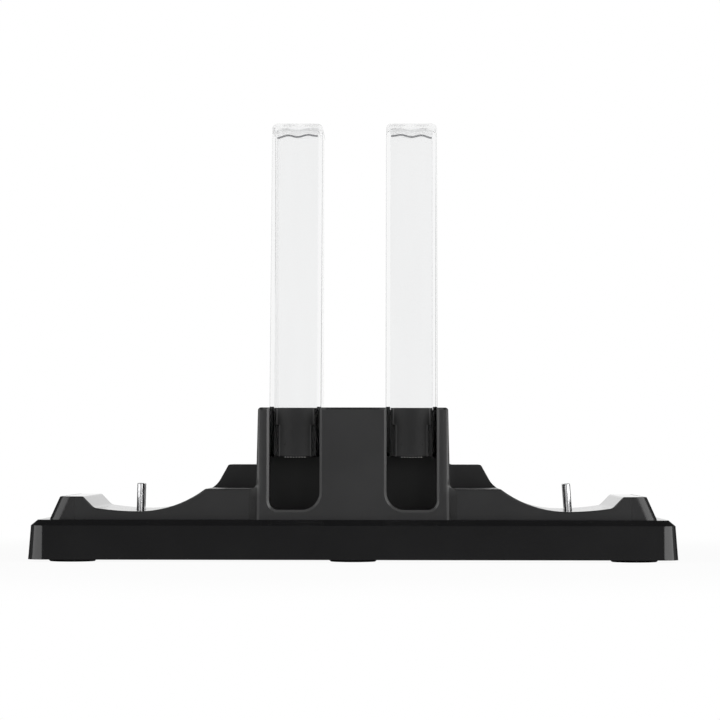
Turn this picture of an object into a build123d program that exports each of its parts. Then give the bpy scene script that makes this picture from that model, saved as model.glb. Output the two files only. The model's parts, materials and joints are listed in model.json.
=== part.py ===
from build123d import *
from math import atan, cos, degrees, radians, sin, sqrt, tan
import os

# Charging dock for two large controllers, in cradles at its ends, and two small ones, in slots at its front.
# Millimetres. X runs along the dock, Y from front to back and Z up. The origin is on the table, mid-dock.

# Plinth
base_length = 205.5
base_depth = 73.0
base_height = 12.5
base_draft = 4.6
base_corner = 5.0
base_chamfer_run = 2.2
base_chamfer_drop = 1.8
deck = 2.0
wall = 2.2
plate = 2.4
plate_gap = 0.35

# Rubber feet in two rows of three
foot_diameter = 15.0
foot_proud = 0.8
foot_sunk = 0.8
foot_inset_x = 13.45
foot_inset_y = 11.0
foot_edge = 0.4

# Upper housing: end horns, cradles, shelves and the step behind them
housing_length = 193.0
housing_depth = 60.0
housing_corner = 3.5
end_lean = 24.3
horn_height = 7.3
horn_width = 7.6
horn_slope_run = 3.5
horn_inner_round = 0.9
horn_foot_round = 2.5
bowl_floor = 2.6
bowl_inset = 1.7
bowl_outer_radius = 90.0
bowl_inner_radius = 35.0
shelf_height = 9.75
shelf_round = 0.9
step_height = 17.3
step_front = 9.0
step_slope = 61.0
step_foot = 1.5
step_blend = 7.0
edge_round = 0.45

# Central block and its two slots
block_length = 62.0
block_height = 35.6
block_draft = 1.33
block_proud = 0.9
block_corner = 1.5
block_top_round = 1.0
block_root = 1.8
slot_spacing = 37.2
slot_width = 16.0
slot_floor = 3.1
slot_inner_round = 5.7
slot_outer_round = 3.0
slot_rim = 0.8
slot_flare = 45.0
slot_flare_run_in = 0.4
recess_back = -17.0
tub_wall = 2.0

# Clear posts: hollow fins with a leaning front
post_width = 16.5
post_wall = 1.4
post_top = 141.9
post_bottom = 33.2
post_front = -21.0
post_lean = 9.76
post_back = 26.0
post_top_round = 1.7
post_edge = 0.4
ceiling_sag = 0.6
ceiling_droop = 1.0
pocket_floor = 4.0

# Contact carriers and their tongues
tongue_width = 12.0
tongue_neck_width = 10.2
tongue_neck_drop = 5.4
tongue_proud = 0.8
tongue_crown = 0.5
tongue_round = 0.5
carrier_back = -6.0
contact_count = 8
contact_pitch = 0.9
contact_width = 0.5
contact_thick = 0.4
contact_length = 3.6
contact_mouth = 0.4
contact_slot_depth = 1.4

# Plugs in the cradles
plug_spacing = 139.4
plug_width = 8.25
plug_thick = 2.4
plug_skin = 0.3
plug_reach = 8.6
plug_lean = {"left": 1.3, "right": 4.0}
plug_mouth_width = 6.7
plug_mouth_thick = 0.9
plug_mouth_depth = 5.5
plug_play = 0.4
holder_length = 13.0
holder_depth = 15.0

# Boards, their parts and the power socket
board = 1.6
board_lift = 2.2
main_board_length = 72.0
main_board_front = -12.0
plug_board_inner = 14.0
plug_board_outer = 8.5
plug_board_depth = 20.0
post_board_width = 16.0
post_board_front = -14.5
post_board_back = 27.0
inlet_width = 8.94
inlet_height = 3.26
inlet_length = 7.3
inlet_skin = 0.3
inlet_inset = 0.3
inlet_tongue_width = 6.7
inlet_tongue_thick = 0.7
inlet_tongue_length = 4.5
light_size = (2.8, 3.5, 1.9)
light_places = (0.0, 12.0)
chip_size = (5.0, 5.0, 0.9)
chip_places = (-20.0, -7.0, 7.0, 20.0)
chip_row = -5.0
choke_size = (6.0, 6.0, 3.0)
choke_place = (24.0, 19.0)
capacitor_diameter = 5.0
capacitor_height = 3.6
capacitor_places = ((10.0, 19.0), (10.0, 9.0))
socket_size = (4.5, 6.0, 3.4)

# Inner leads
lead_diameter = 1.8
lead_run = 5.0
lead_bend = 6.0
main_socket_x = 33.5
main_socket_y = 6.0
post_socket_y = 8.0

# Fasteners and clearances
screw_shank = 2.6
screw_head = 5.0
screw_head_height = 1.4
small_shank = 1.9
small_head = 3.6
small_head_height = 1.2
screw_bite = 5.0
small_bite = 3.0
boss_wall = 2.2
housing_boss = (38.5, 22.0)
board_post = (31.0, 18.0)
post_board_screw = (5.5, 23.0)
fit = 0.15
thread_fit = 0.05

# Levels and lines that the sizes above give
foot_x = base_length / 2 - foot_inset_x
foot_y = base_depth / 2 - foot_inset_y
deck_z = foot_proud + base_height
deck_under = deck_z - deck
plate_top = foot_proud + plate
board_under = plate_top + board_lift
board_top = board_under + board
horn_z = deck_z + horn_height
bowl_z = deck_z + bowl_floor
shelf_z = deck_z + shelf_height
step_z = deck_z + step_height
block_z = deck_z + block_height
slot_x = slot_spacing / 2
plug_x = plug_spacing / 2
bowl_x = plug_x - bowl_inset
housing_half = housing_length / 2
housing_y = housing_depth / 2
horn_out = housing_half - horn_height * tan(radians(end_lean))
horn_in = horn_out - horn_width
horn_foot = horn_in - horn_slope_run
step_foot_z = shelf_z + step_foot
block_depth = housing_depth + 2 * block_proud
post_half = post_width / 2
post_board_top = post_bottom - pocket_floor
post_board_under = post_board_top - board
core_half = post_half - post_wall
carrier_foot = recess_back + tub_wall + fit
main_board_y = base_depth / 2 - wall - (board_top - foot_proud) * tan(radians(base_draft)) - fit
inlet_z = board_top + inlet_height / 2
inlet_mouth = base_depth / 2 - (inlet_z - foot_proud) * tan(radians(base_draft)) - inlet_inset
boss_radius = screw_shank / 2 + boss_wall
far = base_length
bottom_up = (Align.CENTER, Align.CENTER, Align.MIN)


def span(x, y, z):
    """A block between two values on each axis."""
    size = [high - low for low, high in (x, y, z)]
    centre = [(high + low) / 2 for low, high in (x, y, z)]
    return Pos(*centre) * Box(*size)


def about(centre, half):
    return (centre - half, centre + half)


def along_y(face, start, end):
    """A face drawn in X and Z, drawn out from front to back."""
    return extrude(Plane.XZ.offset(-start) * face, amount=end - start, dir=(0, 1, 0))


def along_x(face, half):
    """A face drawn in Y and Z, drawn out to both sides of the middle."""
    return extrude(Plane.YZ * face, amount=half, both=True)


def both_sides(shape):
    return shape + mirror(shape, about=Plane.YZ)


def pair(shape):
    """A right-hand piece and its mirror image."""
    return {"right": shape, "left": mirror(shape, about=Plane.YZ)}


def soften(face, point, radius):
    """Rounds the corner of a flat outline that lies nearest to a point."""
    return fillet(face.vertices().sort_by_distance((*point, 0))[0], radius)


def stadium(length, thick, amount):
    """An upright bar with half-round ends, its long way along Y."""
    return extrude(SlotOverall(length, thick, rotation=90), amount=amount)


def block_half(z):
    return block_length / 2 - (z - deck_z) * tan(radians(block_draft))


def bowl_end(z):
    """Where the cradle's inner arc has climbed to a level."""
    return bowl_x - sqrt(bowl_inner_radius**2 - (bowl_inner_radius - z + bowl_z) ** 2)


def bowl_point(x):
    """A point of the cradle's curve: a gentle arc outside its low point and a tighter one inside."""
    radius = bowl_outer_radius if x > bowl_x else bowl_inner_radius
    return (x, bowl_z + radius - sqrt(radius**2 - (x - bowl_x) ** 2))


def step_end():
    return bowl_end(step_foot_z) - (step_z - step_foot_z) / tan(radians(step_slope))


def housing_outline(corner, ridge, top):
    """Half of the housing's outline: horn, cradle up to its inner corner, the ridge and the root of the block."""
    root = block_half(top) - thread_fit
    root_foot, root_top = (root + block_root, top), (root, top + block_root)
    low = (bowl_x, bowl_z)
    foot = bowl_point(horn_foot)
    face = make_face([
        Polyline((0, deck_z), (housing_half, deck_z), (horn_out, horn_z), (horn_in, horn_z), foot),
        ThreePointArc(foot, bowl_point((horn_foot + bowl_x) / 2), low),
        ThreePointArc(low, bowl_point((bowl_x + corner[0]) / 2), corner),
        Polyline(corner, *ridge, root_foot),
        TangentArc(root_foot, root_top, tangent=(-1, 0)),
        Polyline(root_top, (0, root_top[1]), (0, deck_z)),
    ])
    face = soften(face, (horn_in, horn_z), horn_inner_round)
    return soften(face, foot, horn_foot_round)


def housing_slab(outline, outer, inner):
    """Both halves of an outline drawn out in Y, with its end corners and its outer rim rounded."""
    slab = both_sides(along_y(outline, min(outer, inner), max(outer, inner)))
    ends = [e for e in slab.edges() if abs(e.center().X) > horn_out and abs(e.center().Y - outer) < fit
            and deck_z + fit < e.center().Z < horn_z - fit]
    slab = fillet(ends, housing_corner)
    rim = [e for e in slab.edges() if e.bounding_box().min.Z > deck_z + edge_round and abs(e.center().X) > fit
           and (abs(e.center().Y - outer) < fit
                or abs(e.center().X) > horn_out - housing_corner / 2 and abs(e.center().Z - horn_z) < fit)]
    return fillet(rim, edge_round)


def central_block(inset):
    """The tapered block, or with an inset the square-cornered space inside it."""
    outline = Rectangle(block_length - 2 * inset, block_depth - 2 * inset)
    if not inset:
        outline = fillet(outline.vertices(), block_corner)
    block = extrude(Pos(0, 0, deck_z) * outline, amount=block_height - inset, taper=block_draft)
    return block if inset else fillet(block.faces().sort_by(Axis.Z)[-1].edges(), block_top_round)


def slot_face(low, high):
    """The slot's outline, rounder at its inner lower corner than at its outer one."""
    left, right = about(slot_x, slot_width / 2)
    face = Polygon((left, low), (right, low), (right, high), (left, high), align=None)
    face = soften(face, (left, low), slot_inner_round)
    return soften(face, (right, low), slot_outer_round)


def slot_rim_cut():
    """Flares the slot's mouth along the block's leaning front."""
    lean = radians(block_draft)
    front = Plane((0, -block_depth / 2, deck_z), x_dir=(1, 0, 0), z_dir=(0, -cos(lean), sin(lean)))
    face = offset(slot_face(slot_floor, block_height + block_root), amount=-slot_flare_run_in)
    start = slot_rim + slot_flare_run_in
    return extrude(front.offset(-start) * face, amount=start + slot_rim, taper=-slot_flare)


def housing_cavity():
    """The room under the shelves, the step, the horns and the block."""
    inner = about(0, housing_y - wall)
    low = deck_z - wall
    shelf = span(about(0, bowl_end(shelf_z) - 2 * wall), inner, (low, shelf_z - wall))
    step = span(about(0, step_end() - wall), (step_front + wall, housing_y - wall), (low, step_z - wall))
    horn = span((horn_in, horn_out - wall), inner, (low, horn_z - wall))
    return shelf + step + both_sides(horn) + central_block(wall)


def slot_tubs():
    """Walls of the pocket that a post stands in and of the recess below it."""
    end = block_depth / 2 - wall / 2
    sides = about(slot_x, post_half + fit + tub_wall)
    pocket = span(sides, about(0, end), (post_board_top, block_z - wall / 2))
    recess = span(sides, (-end, recess_back + tub_wall), (deck_z + slot_floor - tub_wall, post_bottom))
    return pocket + recess


def slot_spaces():
    """The open slot, the post's pocket and the window in the pocket's floor."""
    slot = along_y(slot_face(deck_z + slot_floor, block_z + block_root), -far, recess_back)
    pocket = span(about(slot_x, post_half + fit), (post_front_y(post_bottom) - fit, post_back + fit),
                  (post_bottom, block_z + block_root))
    window = span(about(slot_x, core_half + fit), (carrier_foot - fit, post_board_screw[1] - boss_wall),
                  (post_board_top - fit, post_bottom + fit))
    return slot + pocket + window + slot_rim_cut()


def housing_bosses(form):
    """Bosses that reach half-way into the roof above them, and their pilot holes."""
    boss = Cylinder(boss_radius, block_height, align=bottom_up)
    pilot = Cylinder(screw_shank / 2 + thread_fit, screw_bite, align=bottom_up)
    places = [Pos(x, y, deck_z) for x, y in corners(*housing_boss)]
    under_roof = Pos(0, 0, -wall / 2) * form
    return [place * boss & under_roof for place in places], [place * pilot for place in places]


def post_board_pilots():
    pilot = Cylinder(small_shank / 2 + thread_fit, small_bite, align=bottom_up)
    return [Pos(x, y, post_board_top) * pilot for x, y in post_screw_places()]


def corners(x, y):
    return [(a * x, b * y) for a in (-1, 1) for b in (-1, 1)]


def post_screw_places():
    across, back = post_board_screw
    return [(side * slot_x + offset, back) for side in (-1, 1) for offset in (-across, across)]


def upper_housing():
    shelf_corner, step_corner = (bowl_end(shelf_z), shelf_z), (bowl_end(step_foot_z), step_foot_z)
    ridge = (step_end(), step_z)
    front = soften(housing_outline(shelf_corner, [], shelf_z), shelf_corner, shelf_round)
    back = soften(housing_outline(step_corner, [ridge], step_z), step_corner, step_blend)
    back = soften(back, ridge, shelf_round)
    slabs = housing_slab(front, -housing_y, step_front) + housing_slab(back, housing_y, step_front)
    bosses, pilots = housing_bosses(slabs)
    shell = slabs + central_block(0) - housing_cavity() + both_sides(slot_tubs()) + bosses
    plug_hole = Pos(plug_x, 0, 0) * stadium(plug_width + 2 * plug_play, plug_thick + 2 * plug_play, horn_z)
    return shell - both_sides(slot_spaces()) - pilots - post_board_pilots() - both_sides(plug_hole)


def base_form(inset, height):
    """The plinth's leaning form, or with an inset the space inside it."""
    outline = RectangleRounded(base_length - 2 * inset, base_depth - 2 * inset, base_corner - inset)
    return extrude(Pos(0, 0, foot_proud) * outline, amount=height, taper=base_draft)


def base_shell():
    low = base_form(0, base_height - base_chamfer_drop)
    slope = degrees(atan(base_chamfer_run / base_chamfer_drop))
    shell = low + extrude(low.faces().sort_by(Axis.Z)[-1], amount=base_chamfer_drop, taper=slope)
    shell -= base_form(wall, base_height - deck)
    shell -= span(about(0, slot_x + post_half), (recess_back, housing_y - 2 * wall), (deck_under, deck_z))
    holder = span(about(plug_x, holder_length / 2 + fit), about(0, holder_depth / 2 + fit),
                  (deck_under, deck_z))
    shell -= both_sides(holder)
    seat_z = plate_top + screw_head_height
    boss = Cylinder(boss_radius, deck_under - seat_z, align=bottom_up)
    pilot = Cylinder(screw_shank / 2 + thread_fit, screw_bite, align=bottom_up)
    hole = Cylinder(screw_shank / 2 + fit, deck, align=bottom_up)
    feet = [Pos(x, y, seat_z) for x, y in corners(foot_x, foot_y)]
    shell = shell + [place * boss for place in feet]
    shell -= [place * pilot for place in feet]
    shell -= [Pos(x, y, deck_under) * hole for x, y in corners(*housing_boss)]
    mouth = SlotOverall(inlet_width + 2 * fit, inlet_height + 2 * fit)
    return shell - along_y(Pos(0, inlet_z) * mouth, inlet_mouth - inlet_length, base_depth)


def foot_places():
    names = {-1: "left", 0: "centre", 1: "right"}
    rows = {"front": -foot_y, "rear": foot_y}
    return {f"foot_{row}_{name}": (side * foot_x, y)
            for row, y in rows.items() for side, name in names.items()}


def bottom_plate():
    inset = wall + plate_gap
    shape = extrude(Pos(0, 0, foot_proud) * RectangleRounded(
        base_length - 2 * inset, base_depth - 2 * inset, base_corner - wall), amount=plate)
    pad = Cylinder(boss_radius + boss_wall, screw_head_height, align=bottom_up)
    well = Cylinder(screw_head / 2 + fit, foot_sunk + screw_head_height, align=bottom_up)
    hole = Cylinder(screw_shank / 2 + fit, far, align=bottom_up)
    feet = [Pos(x, y, 0) for x, y in corners(foot_x, foot_y)]
    shape = shape + [place * Pos(0, 0, plate_top) * pad for place in feet]
    post = Cylinder(small_shank / 2 + boss_wall, board_lift, align=bottom_up)
    pilot = Cylinder(small_shank / 2 + thread_fit, small_bite, align=bottom_up)
    posts = board_post_places()
    shape = shape + [Pos(x, y, plate_top) * post for x, y in posts]
    rest = span(about(plug_x, holder_length / 2), about(0, holder_depth / 2), (plate_top, board_under))
    rest -= span(about(plug_x, holder_length / 2 - wall), about(0, holder_depth / 2 - wall), (plate_top, far))
    shape = shape + both_sides(rest)
    recess = Cylinder(foot_diameter / 2 + fit, foot_proud + foot_sunk, align=bottom_up)
    shape -= [Pos(x, y, 0) * recess for x, y in foot_places().values()]
    shape -= [place * Pos(0, 0, foot_proud) * well for place in feet]
    shape -= [place * hole for place in feet]
    return shape - [Pos(x, y, board_under - small_bite) * pilot for x, y in posts]


def foot():
    disc = Cylinder(foot_diameter / 2, foot_proud + foot_sunk, align=bottom_up)
    return chamfer(disc.edges().sort_by(Axis.Z)[0], foot_edge)


def post_front_y(z):
    """The post's leaning front line."""
    return post_front + (z - block_z) * tan(radians(post_lean))


def post_side(skin, low):
    """The post's outline seen from the side, thinned by a skin."""
    shift = skin / cos(radians(post_lean))
    top, back = post_top - skin, post_back - skin
    return Polygon((post_front_y(low) + shift, low), (post_front_y(top) + shift, top), (back, top),
                   (back, low), align=None)


def post_hollow():
    """The room inside a post, under a ceiling that sags at its middle and droops at its outer end."""
    ceiling = post_top - post_wall
    half = core_half / 2
    wave = Spline((-core_half, ceiling - ceiling_sag / 2), (-half, ceiling), (0, ceiling - ceiling_sag),
                  (half, ceiling), (core_half, ceiling - ceiling_droop))
    sides = Polyline(wave @ 1, (core_half, post_bottom - wall), (-core_half, post_bottom - wall), wave @ 0)
    return along_y(make_face([wave, sides]), -housing_depth, housing_depth) & along_x(
        post_side(post_wall, post_bottom - wall), post_half)


def tongue_outline(room):
    """The tongue seen from the front, narrower below its shoulder, grown by a clearance."""
    shoulder = block_z - tongue_neck_drop
    wide, narrow = tongue_width / 2 + room, tongue_neck_width / 2 + room
    low = post_bottom - room
    return Polygon((-narrow, low), (narrow, low), (narrow, shoulder - room), (wide, shoulder - room),
                   (wide, block_z + room), (-wide, block_z + room), (-wide, shoulder - room),
                   (-narrow, shoulder - room), align=None)


def clear_post():
    fin = along_x(post_side(0, post_bottom), post_half)
    crown = [e for e in fin.edges().filter_by(Axis.Y) if e.center().Z > post_top - fit]
    fin = fillet(crown, post_top_round)
    upper = [e for e in fin.edges() if e.center().Z > post_bottom + fit]
    front = [e for e in upper if e.bounding_box().max.Y < post_front_y(post_top) + fit]
    rear = [e for e in upper if e.bounding_box().min.Y > post_back - fit]
    fin = fillet(front + rear, post_edge)
    notch = along_y(tongue_outline(fit), -housing_depth, post_front_y(block_z) + 2 * post_wall)
    return Pos(slot_x, 0, 0) * (fin - post_hollow() - notch)


def tongue():
    """The crowned tongue that shows in the slot, leaning as the post's front does."""
    lean = radians(post_lean)
    tilted = Plane((0, post_front_y(post_bottom), post_bottom), x_dir=(1, 0, 0),
                   z_dir=(0, sin(lean), cos(lean)))
    edge, side, depth = tongue_width / 2, tongue_crown - tongue_proud, post_wall + fit + tongue_round
    section = make_face([
        ThreePointArc((-edge, side), (0, -tongue_proud), (edge, side)),
        Polyline((edge, side), (edge, depth), (-edge, depth), (-edge, side)),
    ])
    bar = extrude(tilted * section, amount=block_z, both=True)
    shape = bar & along_y(tongue_outline(0), -housing_depth, housing_depth)
    lower = shape.edges().filter_by(lambda e: e.center().Z < post_bottom + fit).sort_by(Axis.Y)[0]
    return fillet(lower, tongue_round)


def contact_places():
    middle = (contact_count - 1) / 2
    return [(index - middle) * contact_pitch for index in range(contact_count)]


def contact_slot():
    """The slot in the tongue's lower end where the contact blades stand."""
    back = post_front_y(post_bottom) + contact_slot_depth
    half = contact_count * contact_pitch / 2
    top = post_bottom + contact_mouth + contact_length
    return span(about(0, half), (back - contact_slot_depth, back), (post_bottom - fit, top))


def contact_carrier():
    core = core_half - fit
    shift = (post_wall + fit) / cos(radians(post_lean))
    low = post_bottom + fit
    side = Polygon((carrier_foot, post_board_top), (carrier_back, post_board_top), (carrier_back, block_z),
                   (post_front_y(block_z) + shift, block_z), (post_front_y(low) + shift, low),
                   (carrier_foot, low), align=None)
    return Pos(slot_x, 0, 0) * (along_x(side, core) + tongue() - contact_slot())


def rail_contacts():
    back = post_front_y(post_bottom) + contact_slot_depth
    low = post_bottom + contact_mouth
    blade = span(about(slot_x, contact_width / 2), (back - contact_thick, back), (low, low + contact_length))
    return Compound([Pos(x, 0, 0) * blade for x in contact_places()])


def post_board():
    shape = span(about(slot_x, post_board_width / 2), (post_board_front, post_board_back),
                 (post_board_under, post_board_top))
    hole = Pos(0, 0, post_board_under) * Cylinder(small_shank / 2 + fit, board, align=bottom_up)
    return shape - [Pos(x, y, 0) * hole for x, y in post_screw_places() if x > 0]


def post_lights():
    light = Box(*light_size, align=bottom_up)
    return Compound([Pos(slot_x, y, post_board_top) * light for y in light_places])


def plug_place(side):
    """Stands a plug on the cradle's floor, leaning towards the middle of the dock."""
    sign = 1 if side == "right" else -1
    return Pos(sign * plug_x, 0, bowl_z) * Rot(0, -sign * plug_lean[side], 0)


def plug_foot():
    """How far a plug runs down below the cradle's floor."""
    return bowl_z - board_top - fit


def plug_bar(side, grow, reach):
    body = stadium(plug_width + 2 * grow, plug_thick + 2 * grow, reach + plug_foot())
    return plug_place(side) * Pos(0, 0, -plug_foot()) * body


def plug_shell(side):
    shell = plug_bar(side, 0, plug_reach)
    mouth = shell.edges().filter_by(lambda e: e.center().Z > bowl_z + plug_reach / 2).group_by(Axis.Z)[-1]
    return chamfer(mouth, plug_skin / 2) - plug_bar(side, -plug_skin, far)


def plug_core(side):
    core = plug_bar(side, -plug_skin - thread_fit, plug_reach - plug_skin)
    mouth = Box(plug_mouth_thick, plug_mouth_width, plug_mouth_depth, align=bottom_up)
    return core - plug_place(side) * Pos(0, 0, plug_reach - plug_mouth_depth) * mouth


def plug_holder(side):
    sign = 1 if side == "right" else -1
    block = span(about(sign * plug_x, holder_length / 2), about(0, holder_depth / 2), (board_top, deck_z))
    return block - plug_bar(side, thread_fit, plug_reach)


def plug_board():
    return span((plug_x - plug_board_inner, plug_x + plug_board_outer), about(0, plug_board_depth / 2),
                (board_under, board_top))


def board_post_places():
    across, apart = board_post
    middle = (main_board_front + main_board_y) / 2
    return [(x, middle + y) for x, y in corners(across, apart)]


def main_board():
    shape = span(about(0, main_board_length / 2), (main_board_front, main_board_y), (board_under, board_top))
    hole = Cylinder(small_shank / 2 + fit, board, align=bottom_up)
    return shape - [Pos(x, y, board_under) * hole for x, y in board_post_places()]


def on_board(shape, places):
    return Compound([Pos(x, y, board_top) * shape for x, y in places])


def inlet_shell():
    tube = SlotOverall(inlet_width, inlet_height) - SlotOverall(
        inlet_width - 2 * inlet_skin, inlet_height - 2 * inlet_skin)
    return along_y(Pos(0, inlet_z) * tube, inlet_mouth - inlet_length, inlet_mouth)


def inlet_tongue():
    room = inlet_skin + thread_fit
    plug = SlotOverall(inlet_width - 2 * room, inlet_height - 2 * room)
    back = inlet_mouth - inlet_length
    seat = back + inlet_length - inlet_tongue_length - inlet_inset
    blade = span(about(0, inlet_tongue_width / 2), (seat, seat + inlet_tongue_length),
                 about(inlet_z, inlet_tongue_thick / 2))
    return along_y(Pos(0, inlet_z) * plug, back, seat) + blade


def plug_socket_x():
    return plug_x - plug_board_inner + socket_size[0] / 2 + fit


def lead_sockets():
    body = Box(*socket_size, align=bottom_up)
    sockets = []
    for side in (-1, 1):
        sockets.append(Pos(side * plug_socket_x(), 0, board_top) * body)
        sockets.append(Pos(side * main_socket_x, main_socket_y, board_top) * body)
        sockets.append(Pos(side * slot_x, post_socket_y, board_top) * body)
        sockets.append(Pos(side * slot_x, post_socket_y, post_board_under - socket_size[2]) * body)
    return Compound(sockets)


def plug_lead():
    """The lead that runs in a slack bend from the main board to a plug's board."""
    z = board_top + socket_size[2] / 2
    start = plug_socket_x() - socket_size[0] / 2
    end = main_socket_x + socket_size[0] / 2
    path = FilletPolyline((start, 0, z), (start - lead_run, 0, z), (end + lead_run, main_socket_y, z),
                          (end, main_socket_y, z), radius=lead_bend)
    return sweep(Plane(path @ 0, z_dir=path % 0) * Circle(lead_diameter / 2), path)


def post_lead():
    """The short upright lead between the main board and a post's board."""
    low = board_top + socket_size[2]
    length = post_board_under - socket_size[2] - low
    return Pos(slot_x, post_socket_y, low) * Cylinder(lead_diameter / 2, length, align=bottom_up)


def screw(shank, head, head_height, length):
    """A screw that points up, with its head's seat at zero."""
    shape = Cylinder(shank / 2, length, align=bottom_up)
    return shape + Pos(0, 0, -head_height) * Cylinder(head / 2, head_height, align=bottom_up)


def screws():
    big = (screw_shank, screw_head, screw_head_height)
    small = (small_shank, small_head, small_head_height)
    seat_z = foot_proud + foot_sunk + screw_head_height
    plate_screw = screw(*big, plate_top + screw_head_height + screw_bite - seat_z - fit)
    housing_screw = screw(*big, deck + screw_bite - fit)
    board_screw = Rot(180, 0, 0) * screw(*small, board + small_bite - fit)
    post_screw = screw(*small, board + small_bite - fit)
    return {
        "plate_screws": Compound([Pos(x, y, seat_z) * plate_screw
                                  for x, y in corners(foot_x, foot_y)]),
        "housing_screws": Compound([Pos(x, y, deck_under) * housing_screw
                                    for x, y in corners(*housing_boss)]),
        "board_screws": on_board(board_screw, board_post_places()),
        "post_board_screws": Compound([Pos(x, y, post_board_under) * post_screw
                                       for x, y in post_screw_places()]),
    }


def dock():
    """Every piece of the dock by name."""
    parts = {"upper_housing": upper_housing(), "base_shell": base_shell(), "bottom_plate": bottom_plate()}
    for name, place in foot_places().items():
        parts[name] = Pos(*place, 0) * foot()
    mirrored = {"clear_post": clear_post(), "contact_carrier": contact_carrier(),
                "rail_contacts": rail_contacts(), "post_board": post_board(), "post_lights": post_lights(),
                "plug_board": plug_board(), "plug_lead": plug_lead(), "post_lead": post_lead()}
    for name, shape in mirrored.items():
        parts.update({f"{name}_{side}": half for side, half in pair(shape).items()})
    for side in plug_lean:
        parts[f"plug_shell_{side}"] = plug_shell(side)
        parts[f"plug_core_{side}"] = plug_core(side)
        parts[f"plug_holder_{side}"] = plug_holder(side)
    capacitor = Cylinder(capacitor_diameter / 2, capacitor_height, align=bottom_up)
    parts["main_board"] = main_board()
    parts["charge_chips"] = on_board(Box(*chip_size, align=bottom_up), [(x, chip_row) for x in chip_places])
    parts["chokes"] = on_board(Box(*choke_size, align=bottom_up),
                               [(side * choke_place[0], choke_place[1]) for side in (-1, 1)])
    parts["capacitors"] = on_board(capacitor, [(side * x, y) for side in (-1, 1)
                                               for x, y in capacitor_places])
    parts["inlet_shell"] = inlet_shell()
    parts["inlet_tongue"] = inlet_tongue()
    parts["lead_sockets"] = lead_sockets()
    parts.update(screws())
    return parts


os.makedirs("parts", exist_ok=True)
for name, shape in dock().items():
    export_step(shape, f"parts/{name}.step")
    print(name, len(shape.solids()), round(shape.volume, 2))
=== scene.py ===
# %% [markdown]
# A charging dock for game controllers, dressed for a photograph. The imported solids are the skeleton: each one keeps
# its place and gets a finish, and small pieces that the solids leave plain are built here and ride on them.

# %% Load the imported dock
import json
import math

import bpy
from mathutils import Matrix, Vector


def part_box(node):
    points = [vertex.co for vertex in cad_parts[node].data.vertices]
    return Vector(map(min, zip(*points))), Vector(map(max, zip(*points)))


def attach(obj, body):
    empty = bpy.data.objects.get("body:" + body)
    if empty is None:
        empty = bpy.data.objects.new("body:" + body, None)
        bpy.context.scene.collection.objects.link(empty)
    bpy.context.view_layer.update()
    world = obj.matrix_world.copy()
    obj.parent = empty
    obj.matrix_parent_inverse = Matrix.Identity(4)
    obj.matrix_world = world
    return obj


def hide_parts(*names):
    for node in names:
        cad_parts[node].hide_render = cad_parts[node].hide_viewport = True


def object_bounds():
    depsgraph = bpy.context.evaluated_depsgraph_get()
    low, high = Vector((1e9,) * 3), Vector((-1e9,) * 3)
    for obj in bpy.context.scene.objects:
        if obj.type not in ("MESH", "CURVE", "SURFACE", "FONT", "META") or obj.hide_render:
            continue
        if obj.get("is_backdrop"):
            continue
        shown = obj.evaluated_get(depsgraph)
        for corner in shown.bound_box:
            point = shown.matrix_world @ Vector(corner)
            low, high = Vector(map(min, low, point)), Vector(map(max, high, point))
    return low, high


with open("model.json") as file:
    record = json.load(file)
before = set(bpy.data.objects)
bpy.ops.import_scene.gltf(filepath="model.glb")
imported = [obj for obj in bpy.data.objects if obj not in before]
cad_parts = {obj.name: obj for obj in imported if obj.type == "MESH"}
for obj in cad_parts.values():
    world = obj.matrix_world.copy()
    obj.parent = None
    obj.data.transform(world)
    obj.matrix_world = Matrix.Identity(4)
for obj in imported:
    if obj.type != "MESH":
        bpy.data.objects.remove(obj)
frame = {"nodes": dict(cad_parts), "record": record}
cad_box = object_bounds()
MM = 0.001
print("nodes:", len(frame["nodes"]), "box in mm:", [round(v / MM, 1) for c in cad_box for v in c])

# %% [markdown]
# The photograph is taken from straight ahead with a long lens, just above the height of the cradles, so every upright
# stays upright. The lens is a little to the right of the dock's middle: its left flanks hide and the right ones show
# a sliver. The camera is aimed at the point that lies in the middle of the frame, and needs no shift. It is rolled
# by a hair, because in the photograph the dock's right end sits a little lower than its left.

# %% Camera
FRAME_PIXELS = 720
SENSOR = 36.0
FOCAL_PIXELS = 2934.0
EYE = Vector((13.6, -960.0, 35.4)) * MM
STRAIGHT_AHEAD = (396.0, 450.0)
ROLL = math.radians(0.07)

lens = bpy.data.cameras.new("long_lens")
lens.sensor_width = SENSOR
lens.lens = FOCAL_PIXELS / FRAME_PIXELS * SENSOR
lens.clip_start, lens.clip_end = 0.01, 20.0
camera = bpy.data.objects.new("camera", lens)
middle = FRAME_PIXELS / 2
aim = Vector((middle - STRAIGHT_AHEAD[0], FOCAL_PIXELS, STRAIGHT_AHEAD[1] - middle))
camera.location = EYE
level = aim.to_track_quat("-Z", "Y").to_matrix().to_4x4()
camera.rotation_euler = (level @ Matrix.Rotation(ROLL, 4, "Z")).to_euler()
bpy.context.scene.collection.objects.link(camera)
bpy.context.scene.camera = camera
bpy.context.scene.view_settings.view_transform = "Standard"
print("lens in mm:", round(lens.lens, 1))

# %% [markdown]
# Black plastic shows little colour of its own: what the eye reads is what it mirrors. The studio is therefore a dim
# room with a bright band behind the dock, which the flat tops mirror at a glancing angle, dark gaps beside the band,
# which draw the edges of metal and clear plastic, and nothing overhead, which keeps the chamfers black. In front the
# room is a little brighter on the right. The lens itself, and what is seen through clear plastic, finds plain white.
# Each pair of limits below is where a soft step starts and ends, along one axis of the direction looked in.

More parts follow.
